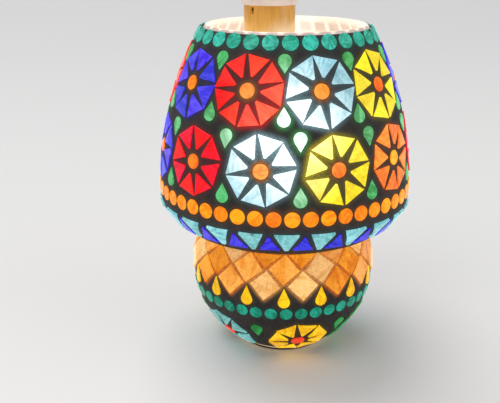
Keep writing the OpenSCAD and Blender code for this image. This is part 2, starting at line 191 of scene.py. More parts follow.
class LAMP_PG_settings(bpy.types.PropertyGroup):
    """Sizes of the finish, and how strongly the lamp glows."""

    tile_edge: bpy.props.FloatProperty(
        name="Tile edge",
        description="Width of the softened edge of a cut tile",
        default=0.28 * MM,
        min=0,
        max=0.6 * MM,
        unit="LENGTH",
    )
    dot_edge: bpy.props.FloatProperty(
        name="Dot edge",
        description="Width of the melted edge of a round tile",
        default=0.55 * MM,
        min=0,
        max=1 * MM,
        unit="LENGTH",
    )
    part_edge: bpy.props.FloatProperty(
        name="Part edge",
        description="Width of the softened edges of the fittings",
        default=0.22 * MM,
        min=0,
        max=0.5 * MM,
        unit="LENGTH",
    )
    grout_rise: bpy.props.FloatProperty(
        name="Grout rise",
        description="How far the grout fills up between the tiles",
        default=1.3 * MM,
        min=0.9 * MM,
        max=1.6 * MM,
        unit="LENGTH",
    )
    turn_rise: bpy.props.FloatProperty(
        name="Grout rise on the turn",
        description="How far the grout fills up on the tight turn at the shade's foot",
        default=1.75 * MM,
        min=1.3 * MM,
        max=1.8 * MM,
        unit="LENGTH",
    )
    glass_wall: bpy.props.FloatProperty(
        name="Glass wall",
        description="Thickness of the shade's glass",
        default=2 * MM,
        min=1 * MM,
        max=2.2 * MM,
        unit="LENGTH",
    )
    halo_reach: bpy.props.FloatProperty(
        name="Halo reach",
        description="How far a tile's light colours the grout beside it",
        default=1.7 * MM,
        min=1 * MM,
        max=10 * MM,
        unit="LENGTH",
    )
    halo: bpy.props.FloatProperty(
        name="Halo",
        description="Share of a tile's glow that the grout beside it takes up",
        default=0.05,
        min=0,
        max=1,
        subtype="FACTOR",
    )
    bulb_light: bpy.props.FloatProperty(
        name="Bulb", description="Brightness of the bulb's glass", default=3, min=0, max=50
    )
    seed: bpy.props.IntProperty(
        name="Seed", description="Changes which tile gets which streaks", default=7, min=0
    )


class LAMP_PG_colours(bpy.types.PropertyGroup):
    """Colours of the lit glass."""

    teal: colour("Teal", "Round tiles under the rim", 58, 180, 158)
    blue: colour("Blue", "Blue petals and triangles", 54, 50, 222)
    red: colour("Red", "Red petals of the upper flowers", 244, 4, 20)
    crimson: colour("Crimson", "Red petals of the lower flowers", 240, 4, 52)
    ice: colour("Ice", "White petals", 158, 204, 214)
    yellow: colour("Yellow", "Yellow petals", 252, 228, 0)
    orange: colour("Orange", "Orange petals", 255, 132, 0)
    tangerine: colour("Tangerine", "Flower centres of the shade", 252, 146, 6)
    green: colour("Green", "Drops of the shade", 70, 172, 92)
    amber_dot: colour("Amber", "Round tiles at the belly", 254, 150, 0)
    pale_blue: colour("Pale blue", "Pale triangles", 136, 204, 208)
    gold: colour("Gold", "Drops and yellow petals of the base", 240, 186, 8)
    pale_teal: colour("Pale teal", "Blue petals of the base", 112, 175, 172)
    leaf: colour("Leaf", "Green tiles of the base", 34, 140, 66)
    vermilion: colour("Vermilion", "Flower centres of the base", 240, 60, 20)
    deep_teal: colour("Deep teal", "Round tiles of the base", 22, 144, 118)
    cream: colour("Cream", "Palest squares of the base", 232, 178, 112)
    peach: colour("Peach", "Middle squares of the base", 234, 158, 72)
    honey: colour("Honey", "Darkest squares of the base", 232, 146, 34)


def settings():
    """The sizes and strengths set for this scene."""
    return bpy.context.scene.lamp


def colours():
    """The glass colours set for this scene."""
    return bpy.context.scene.lamp_colours


# ---- Shader graphs ----


class Graph:
    """Adds and joins nodes in one tree."""

    def __init__(self, tree):
        self.tree = tree

    def put(self, socket, value):
        """Links a socket, or sets its value."""
        if isinstance(value, bpy.types.NodeSocket):
            self.tree.links.new(value, socket)
        elif socket.type in {"RGBA", "VECTOR"}:
            socket.default_value = tuple(value)[: len(socket.default_value)]
        else:
            socket.default_value = value

    def fill(self, node, values):
        """Links or sets a node's first inputs."""
        for socket, value in zip(node.inputs, values):
            self.put(socket, value)
        return node

    def add(self, kind, *values, **named):
        """A node with its first inputs, and then others by name, linked or set."""
        node = self.fill(self.tree.nodes.new(kind), values)
        for name, value in named.items():
            self.put(node.inputs[name.replace("_", " ")], value)
        return node

    def of_group(self, tree, *values):
        """The outputs of a group's node, with its inputs in order."""
        node = self.tree.nodes.new("ShaderNodeGroup")
        node.node_tree = tree
        return self.fill(node, values).outputs

    def attribute(self, name, output):
        """A value stored on the mesh."""
        node = self.tree.nodes.new("ShaderNodeAttribute")
        node.attribute_name = name
        return node.outputs[output]

    def math(self, operation, *values):
        """A number worked out from others."""
        node = self.tree.nodes.new("ShaderNodeMath")
        node.operation = operation
        return self.fill(node, values).outputs[0]

    def vector(self, operation, *values):
        """A vector, or its length, worked out from others."""
        node = self.tree.nodes.new("ShaderNodeVectorMath")
        node.operation = operation
        self.fill(node, values)
        return node.outputs["Value" if operation in {"LENGTH", "DISTANCE"} else "Vector"]

    def scaled(self, value, factor):
        """A colour made brighter or darker by a factor."""
        node = self.tree.nodes.new("ShaderNodeVectorMath")
        node.operation = "SCALE"
        self.put(node.inputs[0], value)
        self.put(node.inputs["Scale"], factor)
        return node.outputs[0]

    def mix(self, factor, a, b):
        """One colour taken towards another."""
        node = self.tree.nodes.new("ShaderNodeMix")
        node.data_type = "RGBA"
        self.put(node.inputs[0], factor)
        self.put(node.inputs[MIX_A], a)
        self.put(node.inputs[MIX_B], b)
        return node.outputs[MIX_RESULT]

    def hue(self, value, turn):
        """A colour with its hue turned; one half leaves it as it is."""
        return self.add("ShaderNodeHueSaturation", Hue=turn, Color=value).outputs[0]

    def ramp(self, value, low, high, to_low=0.0, to_high=1.0):
        """Value taken smoothly from one range to another."""
        node = self.tree.nodes.new("ShaderNodeMapRange")
        node.interpolation_type = "SMOOTHSTEP"
        return self.fill(node, (value, low, high, to_low, to_high)).outputs[0]

    def noise(self, vector, scale, detail=2.0, distortion=0.0):
        """Cloudy grey noise."""
        node = self.add("ShaderNodeTexNoise", Vector=vector, Scale=scale, Detail=detail)
        self.put(node.inputs["Distortion"], distortion)
        return node.outputs["Fac"]

    def place(self):
        """Where the surface is, in the lamp's own frame."""
        return self.tree.nodes.new("ShaderNodeTexCoord").outputs["Object"]

    def height(self, vector):
        """The height in a place."""
        node = self.add("ShaderNodeSeparateXYZ", vector)
        return node.outputs["Z"]


def group(name, inputs, outputs):
    """An empty node group with named inputs and outputs, and its graph and end nodes."""
    tree = bpy.data.node_groups.new(name, "ShaderNodeTree")
    for label, kind, default in inputs:
        socket = tree.interface.new_socket(name=label, in_out="INPUT", socket_type=kind)
        socket.default_value = default
    for label, kind in outputs:
        tree.interface.new_socket(name=label, in_out="OUTPUT", socket_type=kind)
    start = tree.nodes.new("NodeGroupInput")
    end = tree.nodes.new("NodeGroupOutput")
    return tree, Graph(tree), start.outputs, end.inputs


def painted_glow_of(graph, place):
    """How strongly the painted spot and band of the bulb's light show on a place on the shade, 0
    to 1.
    """
    spot = graph.ramp(graph.vector("DISTANCE", place, tuple(HOT_PLACE)), SPOT_FAR, SPOT_NEAR)
    rise = graph.math("ABSOLUTE", graph.math("SUBTRACT", graph.height(place), HOT_PLACE.z))
    band = graph.ramp(rise, BAND_FAR, 0.0, 0.0, BAND_GLOW)
    return graph.math("MAXIMUM", spot, band)


def painted_glow_at(co):
    """The same as painted_glow_of, for an array of places."""

    def smooth(value, zero, one):
        t = np.clip((value - zero) / (one - zero), 0, 1)
        return t * t * (3 - 2 * t)

    spot = smooth(np.linalg.norm(co - np.array(HOT_PLACE), axis=1), SPOT_FAR, SPOT_NEAR)
    band = BAND_GLOW * smooth(np.abs(co[:, 2] - HOT_PLACE.z), BAND_FAR, 0.0)
    return np.maximum(spot, band)


def stained_glass_group():
    """Streaky lit glass: each tile has its own tone and its own piece of the sheet."""
    name = "Stained Glass"
    if name in bpy.data.node_groups:
        return bpy.data.node_groups[name]
    tree, g, given, out = group(
        name,
        [
            ("Colour", "NodeSocketColor", (1, 1, 1, 1)),
            ("Hot Colour", "NodeSocketColor", (1, 1, 1, 1)),
            ("Spot Glow", "NodeSocketFloat", 1.0),
            ("Streak Scale", "NodeSocketFloat", 70.0),
            ("Depth", "NodeSocketFloat", 0.6),
            ("Specks", "NodeSocketFloat", 0.3),
            ("Hue Spread", "NodeSocketFloat", 0.006),
        ],
        [
            ("Base Color", "NodeSocketColor"),
            ("Glow", "NodeSocketColor"),
            ("Height", "NodeSocketFloat"),
        ],
    )
    sheet = g.attribute("sheet", "Vector")
    tone = g.attribute("tone", "Fac")
    drawn = g.vector("MULTIPLY", sheet, (1.0, 2.6, 1.0))
    streak = g.noise(drawn, given["Streak Scale"], 3.0, 1.4)
    streaks = g.ramp(streak, 0.34, 0.62)
    fine = g.noise(sheet, 620.0, 2.0, 0.4)
    specks = g.ramp(fine, 0.60, 0.70)
    seeds = g.noise(g.vector("MULTIPLY", sheet, (1.0, 0.55, 1.0)), 330.0, 1.0, 2.0)
    # Painted light: the tiles are painted paler and brighter towards the painted hot place.
    spot_glow = g.math("MULTIPLY", painted_glow_of(g, g.place()), given["Spot Glow"])
    deep = g.vector("POWER", given["Colour"], (1.35, 1.35, 1.35))
    deep = g.scaled(deep, g.math("SUBTRACT", 1.0, given["Depth"]))
    light = g.mix(0.004, given["Colour"], (1.0, 0.97, 0.9, 1.0))
    body = g.mix(streaks, deep, light)
    body = g.scaled(body, g.ramp(tone, -1.0, 1.0, 0.84, 1.1))
    body = g.hue(body, g.math("MULTIPLY_ADD", tone, given["Hue Spread"], 0.501))
    body = g.scaled(body, g.ramp(fine, 0.3, 0.7, 0.88, 1.08))
    body = g.scaled(body, g.ramp(seeds, 0.25, 0.6, 0.84, 1.08))
    dark = g.math("MULTIPLY", specks, given["Specks"])
    body = g.scaled(body, g.math("SUBTRACT", 1.0, dark))
    hot = g.scaled(given["Hot Colour"], g.ramp(streak, 0.25, 0.65, 0.78, 1.35))
    hot = g.scaled(hot, g.math("SUBTRACT", 1.0, g.math("MULTIPLY", dark, 0.6)))
    glow = g.mix(spot_glow, body, hot)
    glow = g.scaled(glow, g.math("ADD", 0.9, g.math("MULTIPLY", spot_glow, 0.35)))
    g.put(out["Base Color"], g.scaled(given["Colour"], 0.12))
    g.put(out["Glow"], glow)
    g.put(out["Height"], g.math("ADD", streak, g.math("MULTIPLY", fine, 0.3)))
    return tree


def worn_group():
    """A plain surface with a faint change of tone, gloss and height."""
    name = "Worn Surface"
    if name in bpy.data.node_groups:
        return bpy.data.node_groups[name]
    tree, g, given, out = group(
        name,
        [
            ("Colour", "NodeSocketColor", (1, 1, 1, 1)),
            ("Dull Colour", "NodeSocketColor", (1, 1, 1, 1)),
            ("Scale", "NodeSocketFloat", 200.0),
            ("Low Roughness", "NodeSocketFloat", 0.3),
            ("High Roughness", "NodeSocketFloat", 0.5),
        ],
        [
            ("Base Color", "NodeSocketColor"),
            ("Roughness", "NodeSocketFloat"),
            ("Height", "NodeSocketFloat"),
        ],
    )
    place = g.place()
    broad = g.noise(place, given["Scale"], 3.0, 0.5)
    fine = g.noise(g.vector("MULTIPLY", place, (6.0, 6.0, 1.2)), given["Scale"], 2.0)
    wear = g.ramp(broad, 0.4, 0.7)
    g.put(out["Base Color"], g.mix(wear, given["Colour"], given["Dull Colour"]))
    roughness = (given["Low Roughness"], given["High Roughness"])
    rough = g.fill(g.tree.nodes.new("ShaderNodeMapRange"), (broad, 0.3, 0.7, *roughness))
    g.put(out["Roughness"], rough.outputs[0])
    g.put(out["Height"], g.math("ADD", fine, g.math("MULTIPLY", broad, 0.5)))
    return tree


def new_material(name):
    """A material with its graph and its Principled shader."""
    material = bpy.data.materials.new(name)
    material.use_nodes = True
    tree = material.node_tree
    return material, Graph(tree), tree.nodes["Principled BSDF"]


def dial(shader, **values):
    """Sets a shader's inputs by name, with _ for a space."""
    for name, value in values.items():
        shader.inputs[name.replace("_", " ")].default_value = value


def bump(g, shader, height, strength, distance):
    """Gives a shader relief from a height."""
    node = g.add("ShaderNodeBump", Strength=strength, Distance=distance, Height=height)
    g.put(shader.inputs["Normal"], node.outputs["Normal"])


def stained_material(
    name, tint, lit, depth, scale=70.0, specks=0.3, whiteness=0.62, hues=0.006
):
    """Lit stained glass of one colour, painted paler and brighter at the painted hot place. Lit is
    how strongly that painted light shows on it.
    """
    material, g, shader = new_material(name)
    cold = Vector(getattr(colours(), tint))
    hot = cold.lerp(Vector(HOT_GLASS.get(tint, WARM_WHITE)), whiteness)
    look = g.of_group(
        stained_glass_group(), (*cold, 1), (*hot, 1), lit, scale, depth, specks, hues
    )
    g.put(shader.inputs["Base Color"], look["Base Color"])
    g.put(shader.inputs["Emission Color"], look["Glow"])
    dial(
        shader,
        Emission_Strength=1.3,
        Roughness=0.16,
        Specular_IOR_Level=0.14,
        Coat_Weight=0.06,
        Coat_Roughness=0.08,
    )
    bump(g, shader, look["Height"], 0.35, 0.35 * MM)
    return material


def worn_material(name, tint, dull, rough, scale=160.0, metal=0.0, coat=0.0, depth=0.02):
    """A fitting's material. Rough is its smoothest and roughest, depth its bump in mm."""
    material, g, shader = new_material(name)
    look = g.of_group(worn_group(), (*tint, 1), (*dull, 1), scale, *rough)
    g.put(shader.inputs["Base Color"], look["Base Color"])
    g.put(shader.inputs["Roughness"], look["Roughness"])
    dial(shader, Metallic=metal, Coat_Weight=coat)
    bump(g, shader, look["Height"], 0.5, depth * MM)
    return material


def grout_material():
    """Dark cement with a painted glow in the colour of the tiles beside it."""
    material, g, shader = new_material("Grout")
    place = g.place()
    grain = g.noise(place, 900.0, 3.0, 0.3)
    patch = g.noise(place, 120.0, 2.0)
    dark = g.mix(g.ramp(patch, 0.35, 0.65), (0.010, 0.007, 0.006, 1), (0.022, 0.016, 0.013, 1))
    g.put(shader.inputs["Base Color"], dark)
    halo = g.attribute("halo", "Color")
    g.put(shader.inputs["Emission Color"], g.scaled(halo, g.ramp(grain, 0.3, 0.7, 0.6, 1.25)))
    dial(shader, Emission_Strength=1.0)
    g.put(shader.inputs["Roughness"], g.ramp(grain, 0.3, 0.7, 0.55, 0.85))
    bump(g, shader, grain, 0.6, 0.25 * MM)
    return material


def lit_glass_material(name, bright, shadow, strength):
    """Glass lit from inside, with the shadows of the tiles on it."""
    material, g, shader = new_material(name)
    cloud = g.noise(g.place(), 60.0, 2.0)
    clear = g.scaled((*bright, 1), g.ramp(cloud, 0.3, 0.7, 0.9, 1.05))
    shade = g.attribute("shadow", "Fac")
    g.put(shader.inputs["Emission Color"], g.mix(shade, clear, (*shadow, 1)))
    base = (0.32, 0.30, 0.26, 1)
    dial(shader, Emission_Strength=strength, Base_Color=base, Roughness=0.12, Coat_Weight=0.5)
    bump(g, shader, cloud, 0.2, 0.3 * MM)
    return material


def skirt_material():
    """Amber plastic with painted light from the bulb inside, most at its lower right."""
    material, g, shader = new_material("Amber Skirt")
    low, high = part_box("holder_skirt")
    place = g.place()
    # Painted light: paler towards the bottom, nearer the bulb, and near white round a bright place
    # at the lower right.
    bright_place = (HOLDER_X + 11 * MM, low.y, low.z)
    near = g.ramp(g.vector("DISTANCE", place, bright_place), 0.024, 0.004)
    up = g.ramp(g.height(place), low.z, high.z)
    streak = g.noise(g.vector("MULTIPLY", place, (1.0, 1.0, 0.25)), 260.0, 2.0, 0.5)
    amber = g.mix(up, (*linear(236, 184, 96), 1), (*linear(206, 144, 52), 1))
    amber = g.scaled(amber, g.ramp(streak, 0.3, 0.7, 0.86, 1.06))
    g.put(shader.inputs["Emission Color"], g.mix(near, amber, (1.0, 0.93, 0.72, 1)))
    g.put(shader.inputs["Base Color"], g.scaled(amber, 0.35))
    dial(shader, Emission_Strength=0.72, Roughness=0.28, Coat_Weight=0.4)
    return material


def bulb_material():
    """Opal glass, lit."""
    material, g, shader = new_material("Lit Opal Glass")
    cloud = g.noise(g.place(), 45.0, 2.0)
    glow = g.scaled((1.0, 0.93, 0.80, 1), g.ramp(cloud, 0.3, 0.7, 0.92, 1.06))
    g.put(shader.inputs["Emission Color"], glow)
    bright = settings().bulb_light
    dial(shader, Emission_Strength=bright, Base_Color=(0.9, 0.88, 0.84, 1), Roughness=0.2)
    return material


def clear_material():
    """Plain clear glass."""
    material, g, shader = new_material("Clear Glass")
    dial(shader, Base_Color=(0.95, 0.97, 0.96, 1), Transmission_Weight=1.0)
    g.put(shader.inputs["Roughness"], g.ramp(g.noise(g.place(), 80.0), 0.3, 0.7, 0.01, 0.06))
    return material


def fitting_material(slot):
    """The material of one of the record's slots that isn't tile glass, made once."""
    name = "Fitting " + slot
    if name in bpy.data.materials:
        return bpy.data.materials[name]
    looks = {
        "felt": ((0.020, 0.020, 0.022), (0.045, 0.044, 0.046), (0.9, 1.0), 900.0, 0, 0, 0.2),
        "rubber": ((0.030, 0.029, 0.028), (0.055, 0.052, 0.050), (0.55, 0.8), 300.0),
        "ring_steel": ((0.62, 0.58, 0.52), (0.42, 0.38, 0.33), (0.24, 0.42), 90.0, 1),
        "strap_steel": ((0.60, 0.59, 0.57), (0.40, 0.38, 0.35), (0.28, 0.48), 140.0, 1),
        "screw_steel": ((0.66, 0.65, 0.63), (0.45, 0.43, 0.40), (0.25, 0.45), 500.0, 1),
        "sleeve_metal": ((0.72, 0.66, 0.56), (0.50, 0.44, 0.36), (0.25, 0.4), 160.0, 1),
        "cap_metal": ((0.78, 0.77, 0.75), (0.58, 0.56, 0.53), (0.22, 0.38), 200.0, 1),
        "spring_wire": ((0.62, 0.61, 0.60), (0.42, 0.41, 0.40), (0.25, 0.4), 700.0, 1),
        "contact_brass": ((0.80, 0.58, 0.24), (0.52, 0.36, 0.15), (0.25, 0.42), 400.0, 1),
        "cap_plastic": ((0.88, 0.76, 0.70), (0.80, 0.67, 0.61), (0.22, 0.34), 110.0, 0, 0.4),
        "insert_plastic": ((0.12, 0.055, 0.025), (0.08, 0.04, 0.02), (0.3, 0.5), 220.0),
        "black_glass": ((0.012, 0.012, 0.014), (0.02, 0.02, 0.02), (0.12, 0.2), 200.0, 0, 0.5),
    }
    return worn_material(name, *looks[slot])


# ---- Meshes ----


def piece(name, bm, nodes, material, smooth=20.0):
    """Makes an object of a bmesh, in place of CAD nodes and on their body."""
    mesh = bpy.data.meshes.new(name)
    bm.to_mesh(mesh)
    bm.free()
    mesh.polygons.foreach_set("use_smooth", [True] * len(mesh.polygons))
    mesh.set_sharp_from_angle(angle=math.radians(smooth))
    mesh.materials.append(material)
    made = bpy.data.objects.new(name, mesh)
    bpy.context.scene.collection.objects.link(made)
    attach(made, NODES[nodes[0]]["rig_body"])
    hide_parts(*nodes)
    return made


def merged(node):
    """A CAD node's mesh as clean faces: doubles merged and flat faces whole."""
    bm = bmesh.new()
    bm.from_mesh(NODES[node].data)
    bmesh.ops.remove_doubles(bm, verts=bm.verts, dist=0.004 * MM)
    bmesh.ops.dissolve_limit(
        bm, angle_limit=math.radians(0.6), verts=bm.verts, edges=bm.edges, delimit=set()
    )
    return bm


def soften(bm, width, segments, sharper_than, chosen=lambda edge: True):
    """Bevels the edges where two faces meet at more than an angle in degrees."""
    sharp = [
        e
        for e in bm.edges
        if len(e.link_faces) == 2
        and e.is_convex
        and e.calc_face_angle(0) > math.radians(sharper_than)
        and chosen(e)
    ]
    if sharp and width > 0:
        bmesh.ops.bevel(
            bm,
            geom=sharp,
            offset=width,
            offset_type="OFFSET",
            affect="EDGES",
            segments=segments,
            profile=0.5,
            clamp_overlap=True,
            material=-1,
        )


def refined(node, material=None, width=None):
    """A fitting: the CAD node's shape with softened edges."""
    bm = merged(node)
    soften(bm, settings().part_edge if width is None else width, 2, 35)
    material = material or fitting_material(SLOTS[node])
    return piece(node + ".fine", bm, [node], material, 24.0)


def islands(bm):
    """Lists of the vertices of each separate solid."""
    left = set(bm.verts)
    found = []
    while left:
        stack = [left.pop()]
        island = []
        while stack:
            v = stack.pop()
            island.append(v)
            for e in v.link_edges:
                other = e.other_vert(v)
                if other in left:
                    left.remove(other)
                    stack.append(other)
        found.append(sorted(island, key=lambda v: v.index))
    return sorted(found, key=lambda island: island[0].index)


def lay_sheets(bm, rng):
    """Gives every tile a tone of its own and its own place on a sheet of streaky glass."""
    bm.verts.index_update()
    bm.normal_update()
    tone = bm.verts.layers.float.new("tone")
    sheet = bm.verts.layers.float_vector.new("sheet")
    for island in islands(bm):
        middle = sum((v.co for v in island), Vector()) / len(island)
        faces = {f for v in island for f in v.link_faces}
        widest = max(faces, key=lambda f: (round(f.calc_area(), 10), f.normal.dot(middle)))
        across = widest.normal.cross(Vector((0, 0, 1))).normalized()
        up = widest.normal.cross(across)
        turn = rng.uniform(0, math.pi)
        away = Vector((rng.random(), rng.random(), rng.random()))
        shade = rng.uniform(-1, 1)
        for v in island:
            x, y = (v.co - middle).dot(across), (v.co - middle).dot(up)
            v[tone] = shade
            v[sheet] = away + Vector(
                (
                    x * math.cos(turn) - y * math.sin(turn),
                    x * math.sin(turn) + y * math.cos(turn),
                    0,
                )
            )


def tiles(node, material):
    """The cut or round glass tiles of one node, with soft outer edges."""
    bm = merged(node)

    def outer(edge):
        """True if the edge is round the outer face of its tile."""
        middle = sum((v.co for v in edge.verts), Vector()) / 2
        flat = max(edge.link_faces, key=lambda f: f.calc_area())
        return flat.normal.dot(Vector((middle.x, middle.y, 0))) > 0

    dot = node in ROUND_TILES
    width = settings().dot_edge if dot else settings().tile_edge
    soften(bm, width, 3 if dot else 2, 50, outer)
    rng = random.Random(f"{settings().seed} {node}")
    lay_sheets(bm, rng)
    return piece(node + ".glass", bm, [node], material, 16.0 if dot else 20.0)


def glaze(node, tint, lit, depth, **look):
    """The tiles of one node in stained glass of their own."""
    tiles(node, stained_material("Glass " + node, tint, lit, depth, **look))


def outline(node):
    """Radius and height of points down the outside of a round node that bulges all the way."""
    co = np.array([v.co for v in NODES[node].data.vertices])
    line = np.column_stack((np.hypot(co[:, 0], co[:, 1]), co[:, 2]))
    found = []
    for way in np.radians(np.linspace(89.9, -89.9, 1200)):
        best = int(np.argmax(line @ (math.cos(way), math.sin(way))))
        if best not in found:
            found.append(best)
    return line[found]


def resampled(line, step, trim):
    """Even points along a line, with a length left off at both ends."""
    along = np.concatenate(([0], np.cumsum(np.linalg.norm(np.diff(line, axis=0), axis=1))))
    count = max(2, round((along[-1] - 2 * trim) / step))
    places = np.linspace(trim, along[-1] - trim, count)
    return np.column_stack([np.interp(places, along, line[:, k]) for k in (0, 1)])


def wall_loop(line, out, back):
    """A closed outline: the line moved outwards by out and back inwards by back, ends round."""
    along = np.gradient(line, axis=0)
    along /= np.linalg.norm(along, axis=1)[:, None]
    normal = np.column_stack((-along[:, 1], along[:, 0]))
    outer = line + normal * np.broadcast_to(out, len(line))[:, None]
    inner = line - normal * back
    ends = []
    for k, way in ((-1, along[-1]), (0, -along[0])):
        middle = (outer[k] + inner[k]) / 2
        arm = outer[k] - middle if k else inner[k] - middle
        radius = np.linalg.norm(arm)
        ends.append(
            [
                middle + arm * math.cos(a) + way * radius * math.sin(a)
                for a in np.radians((30, 60, 90, 120, 150))
            ]
        )
    return np.vstack((outer, ends[0], inner[::-4], ends[1]))


def spun(loop, steps):
    """A closed outline of radius and height turned right round the lamp's axis."""
    bm = bmesh.new()
    verts = [bm.verts.new((r, 0, z)) for r, z in loop]
    edges = [bm.edges.new((a, b)) for a, b in zip(verts, verts[1:] + verts[:1])]
    bmesh.ops.spin(
        bm,
        geom=verts + edges,
        cent=(0, 0, 0),
        axis=(0, 0, 1),
        angle=2 * math.pi,
        steps=steps,
        use_merge=True,
    )
    bmesh.ops.remove_doubles(bm, verts=bm.verts, dist=0.001 * MM)
    bmesh.ops.recalc_face_normals(bm, faces=bm.faces)
    return bm


def tile_tree(tints):
    """A search tree of the tiles in some nodes, and the colour of each of its faces."""
    verts, faces, shades = [], [], []
    for node, tint in tints.items():
        mesh = NODES[node].data
        first = len(verts)
        verts += [v.co.copy() for v in mesh.vertices]
        faces += [[first + i for i in p.vertices] for p in mesh.polygons]
        share, power = SQUARE_GLOW if node.startswith("base_tiles") else (1.0, 1.0)
        tone = tuple(share * part**power for part in getattr(colours(), tint))
        shades += [tone] * len(mesh.polygons)
    return BVHTree.FromPolygons(verts, faces), np.array(shades)


def nearest(co, tree, shades):
    """Distance to the nearest tile from each place, and that tile's colour."""
    found = [tree.find_nearest(Vector(p)) for p in co]
    return np.array([f[3] for f in found]), shades[[f[2] for f in found]]


def spread(mesh, values, rounds):
    """Values at the vertices, blurred along the edges."""
    pairs = np.empty(len(mesh.edges) * 2, np.int64)
    mesh.edges.foreach_get("vertices", pairs)
    a, b = pairs.reshape(-1, 2).T
    count = np.bincount(pairs, minlength=len(mesh.vertices))[:, None]
    for _ in range(rounds):
        total = np.zeros_like(values)
        np.add.at(total, a, values[b])
        np.add.at(total, b, values[a])
        values = 0.5 * values + 0.5 * total / count
    return values


def coordinates(mesh):
    """The places of a mesh's vertices, one to a row."""
    flat = np.empty(len(mesh.vertices) * 3)
    mesh.vertices.foreach_get("co", flat)
    return flat.reshape(-1, 3)


def add_halo(made, tints, lit, reach):
    """Paints the glow of the tiles beside it on the grout, more at the painted hot place."""
    co = coordinates(made.data)
    far, shades = nearest(co, *tile_tree(tints))
    dim = settings().halo
    near = np.exp(-((far / reach) ** 2))
    spot_glow = painted_glow_at(co) * lit
    glow = spread(made.data, shades * (near * dim * (1 + HALO_SPOT_GLOW * spot_glow))[:, None], 3)
    attribute = made.data.attributes.new("halo", "FLOAT_COLOR", "POINT")
    attribute.data.foreach_set("color", np.column_stack((glow, np.ones(len(co)))).ravel())


# ---- Operators ----


class LAMP_OT_base_glass(bpy.types.Operator):
    """The blown glass of the base, with its flat shoulder and neck."""

    bl_idname = "lamp.base_glass"
    bl_label = "Base Glass"

    def execute(self, context):
        warm = lit_glass_material("Base Glass", linear(250, 214, 160), linear(180, 150, 110), 0.55)
        refined("base_glass", warm)
        return {"FINISHED"}


class LAMP_OT_base_grout(bpy.types.Operator):
    """The grout round the base."""

    bl_idname = "lamp.base_grout"
    bl_label = "Base Grout"

    def execute(self, context):
        line = resampled(outline("base_grout"), 1.0 * MM, 0.9 * MM)
        loop = wall_loop(line, settings().grout_rise, GROUT_BACK)
        bm = spun(loop, BASE_GROUT_STEPS)
        made = piece("base_grout.skin", bm, ["base_grout"], grout_material(), 60)
        add_halo(made, BASE_TILES, 0, BASE_REACH * settings().halo_reach)
        return {"FINISHED"}


class LAMP_OT_base_tiles(bpy.types.Operator):
    """The glass tiles of the base."""

    bl_idname = "lamp.base_tiles"
    bl_label = "Base Tiles"

    def execute(self, context):
        for node, tint in BASE_TILES.items():
            depth, scale = (0.1, 48.0) if node.startswith("base_tiles") else (0.2, 75.0)
            glaze(node, tint, 0, depth, scale=scale, specks=0.35)
        return {"FINISHED"}


class LAMP_OT_shade_glass(bpy.types.Operator):
    """The glass of the shade, lit on the inside, with its bare rim and lower edge."""

    bl_idname = "lamp.shade_glass"
    bl_label = "Shade Glass"

    def execute(self, context):
        wall = settings().glass_wall
        line = resampled(outline("shade_glass"), 1.15 * MM, wall / 2)
        material = lit_glass_material(
            "Shade Glass", linear(255, 240, 214), linear(176, 140, 136), 0.95
        )
        bm = spun(wall_loop(line, 0, wall), SHADE_GLASS_STEPS)
        made = piece("shade_glass.blown", bm, ["shade_glass"], material, 60)
        far, _ = nearest(coordinates(made.data), *tile_tree(SHADE_TILES))
        under = far.min() + wall
        shadow = np.clip((under + SHADOW_EDGE - far) / SHADOW_FADE, 0, 1)
        shadow *= coordinates(made.data)[:, 2] < RIM_Z - SHADOW_TRIM
        shadow = spread(made.data, shadow[:, None], 1)
        attribute = made.data.attributes.new("shadow", "FLOAT", "POINT")
        attribute.data.foreach_set("value", shadow.ravel())
        return {"FINISHED"}


class LAMP_OT_shade_grout(bpy.types.Operator):
    """The grout round the shade, with the painted glow of its tiles."""

    bl_idname = "lamp.shade_grout"
    bl_label = "Shade Grout"

    def execute(self, context):
        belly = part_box("shade_orange_dots")[0].z
        line = resampled(outline("shade_grout"), 1.1 * MM, 1.1 * MM)
        line = line[line[:, 1] < RIM_Z - GROUT_TRIM]
        down = np.clip((belly - line[:, 1]) / TURN_HEIGHT, 0, 1)
        rise = settings().grout_rise + (settings().turn_rise - settings().grout_rise) * down
        bm = spun(wall_loop(line, rise, GROUT_BACK), SHADE_GROUT_STEPS)
        made = piece("shade_grout.skin", bm, ["shade_grout"], grout_material(), 60)
        add_halo(made, SHADE_TILES, 1, settings().halo_reach)
        return {"FINISHED"}


class LAMP_OT_shade_dots(bpy.types.Operator):
    """The round tiles of the shade."""

    bl_idname = "lamp.shade_dots"
    bl_label = "Shade Dots"

    def execute(self, context):
        for node in sorted(ROUND_TILES & set(SHADE_TILES)):
            depth = 0.34 if "teal" in node else 0.12
            hues = 0.024 if "centres" in node else 0.01
            glaze(node, SHADE_TILES[node], 0.35, depth, scale=105.0, whiteness=0.3, hues=hues)
        return {"FINISHED"}


class LAMP_OT_shade_flowers(bpy.types.Operator):
    """The petals of the two rings of flowers."""

    bl_idname = "lamp.shade_flowers"
    bl_label = "Shade Flowers"

    def execute(self, context):
        for node, tint in SHADE_TILES.items():
            if "_flowers_" in node:
                lit, depth, whiteness = (1.0, 0.12, 0.95) if tint == "ice" else (0.8, 0.16, 0.5)
                glaze(node, tint, lit, depth, whiteness=whiteness)
        return {"FINISHED"}


class LAMP_OT_shade_drops(bpy.types.Operator):
    """The green drops between the flowers."""

    bl_idname = "lamp.shade_drops"
    bl_label = "Shade Drops"

    def execute(self, context):
        for node, tint in SHADE_TILES.items():
            if "_drops_" in node:
                glaze(node, tint, 1.0, 0.32, whiteness=0.8)
        return {"FINISHED"}


class LAMP_OT_shade_triangles(bpy.types.Operator):
    """The pale and blue triangles on the turn of the shade."""

    bl_idname = "lamp.shade_triangles"
    bl_label = "Shade Triangles"

    def execute(self, context):
        for node, tint in SHADE_TILES.items():
            if "_triangles_" in node:
                glaze(node, tint, 0.3, 0.25, specks=0.6)
        return {"FINISHED"}


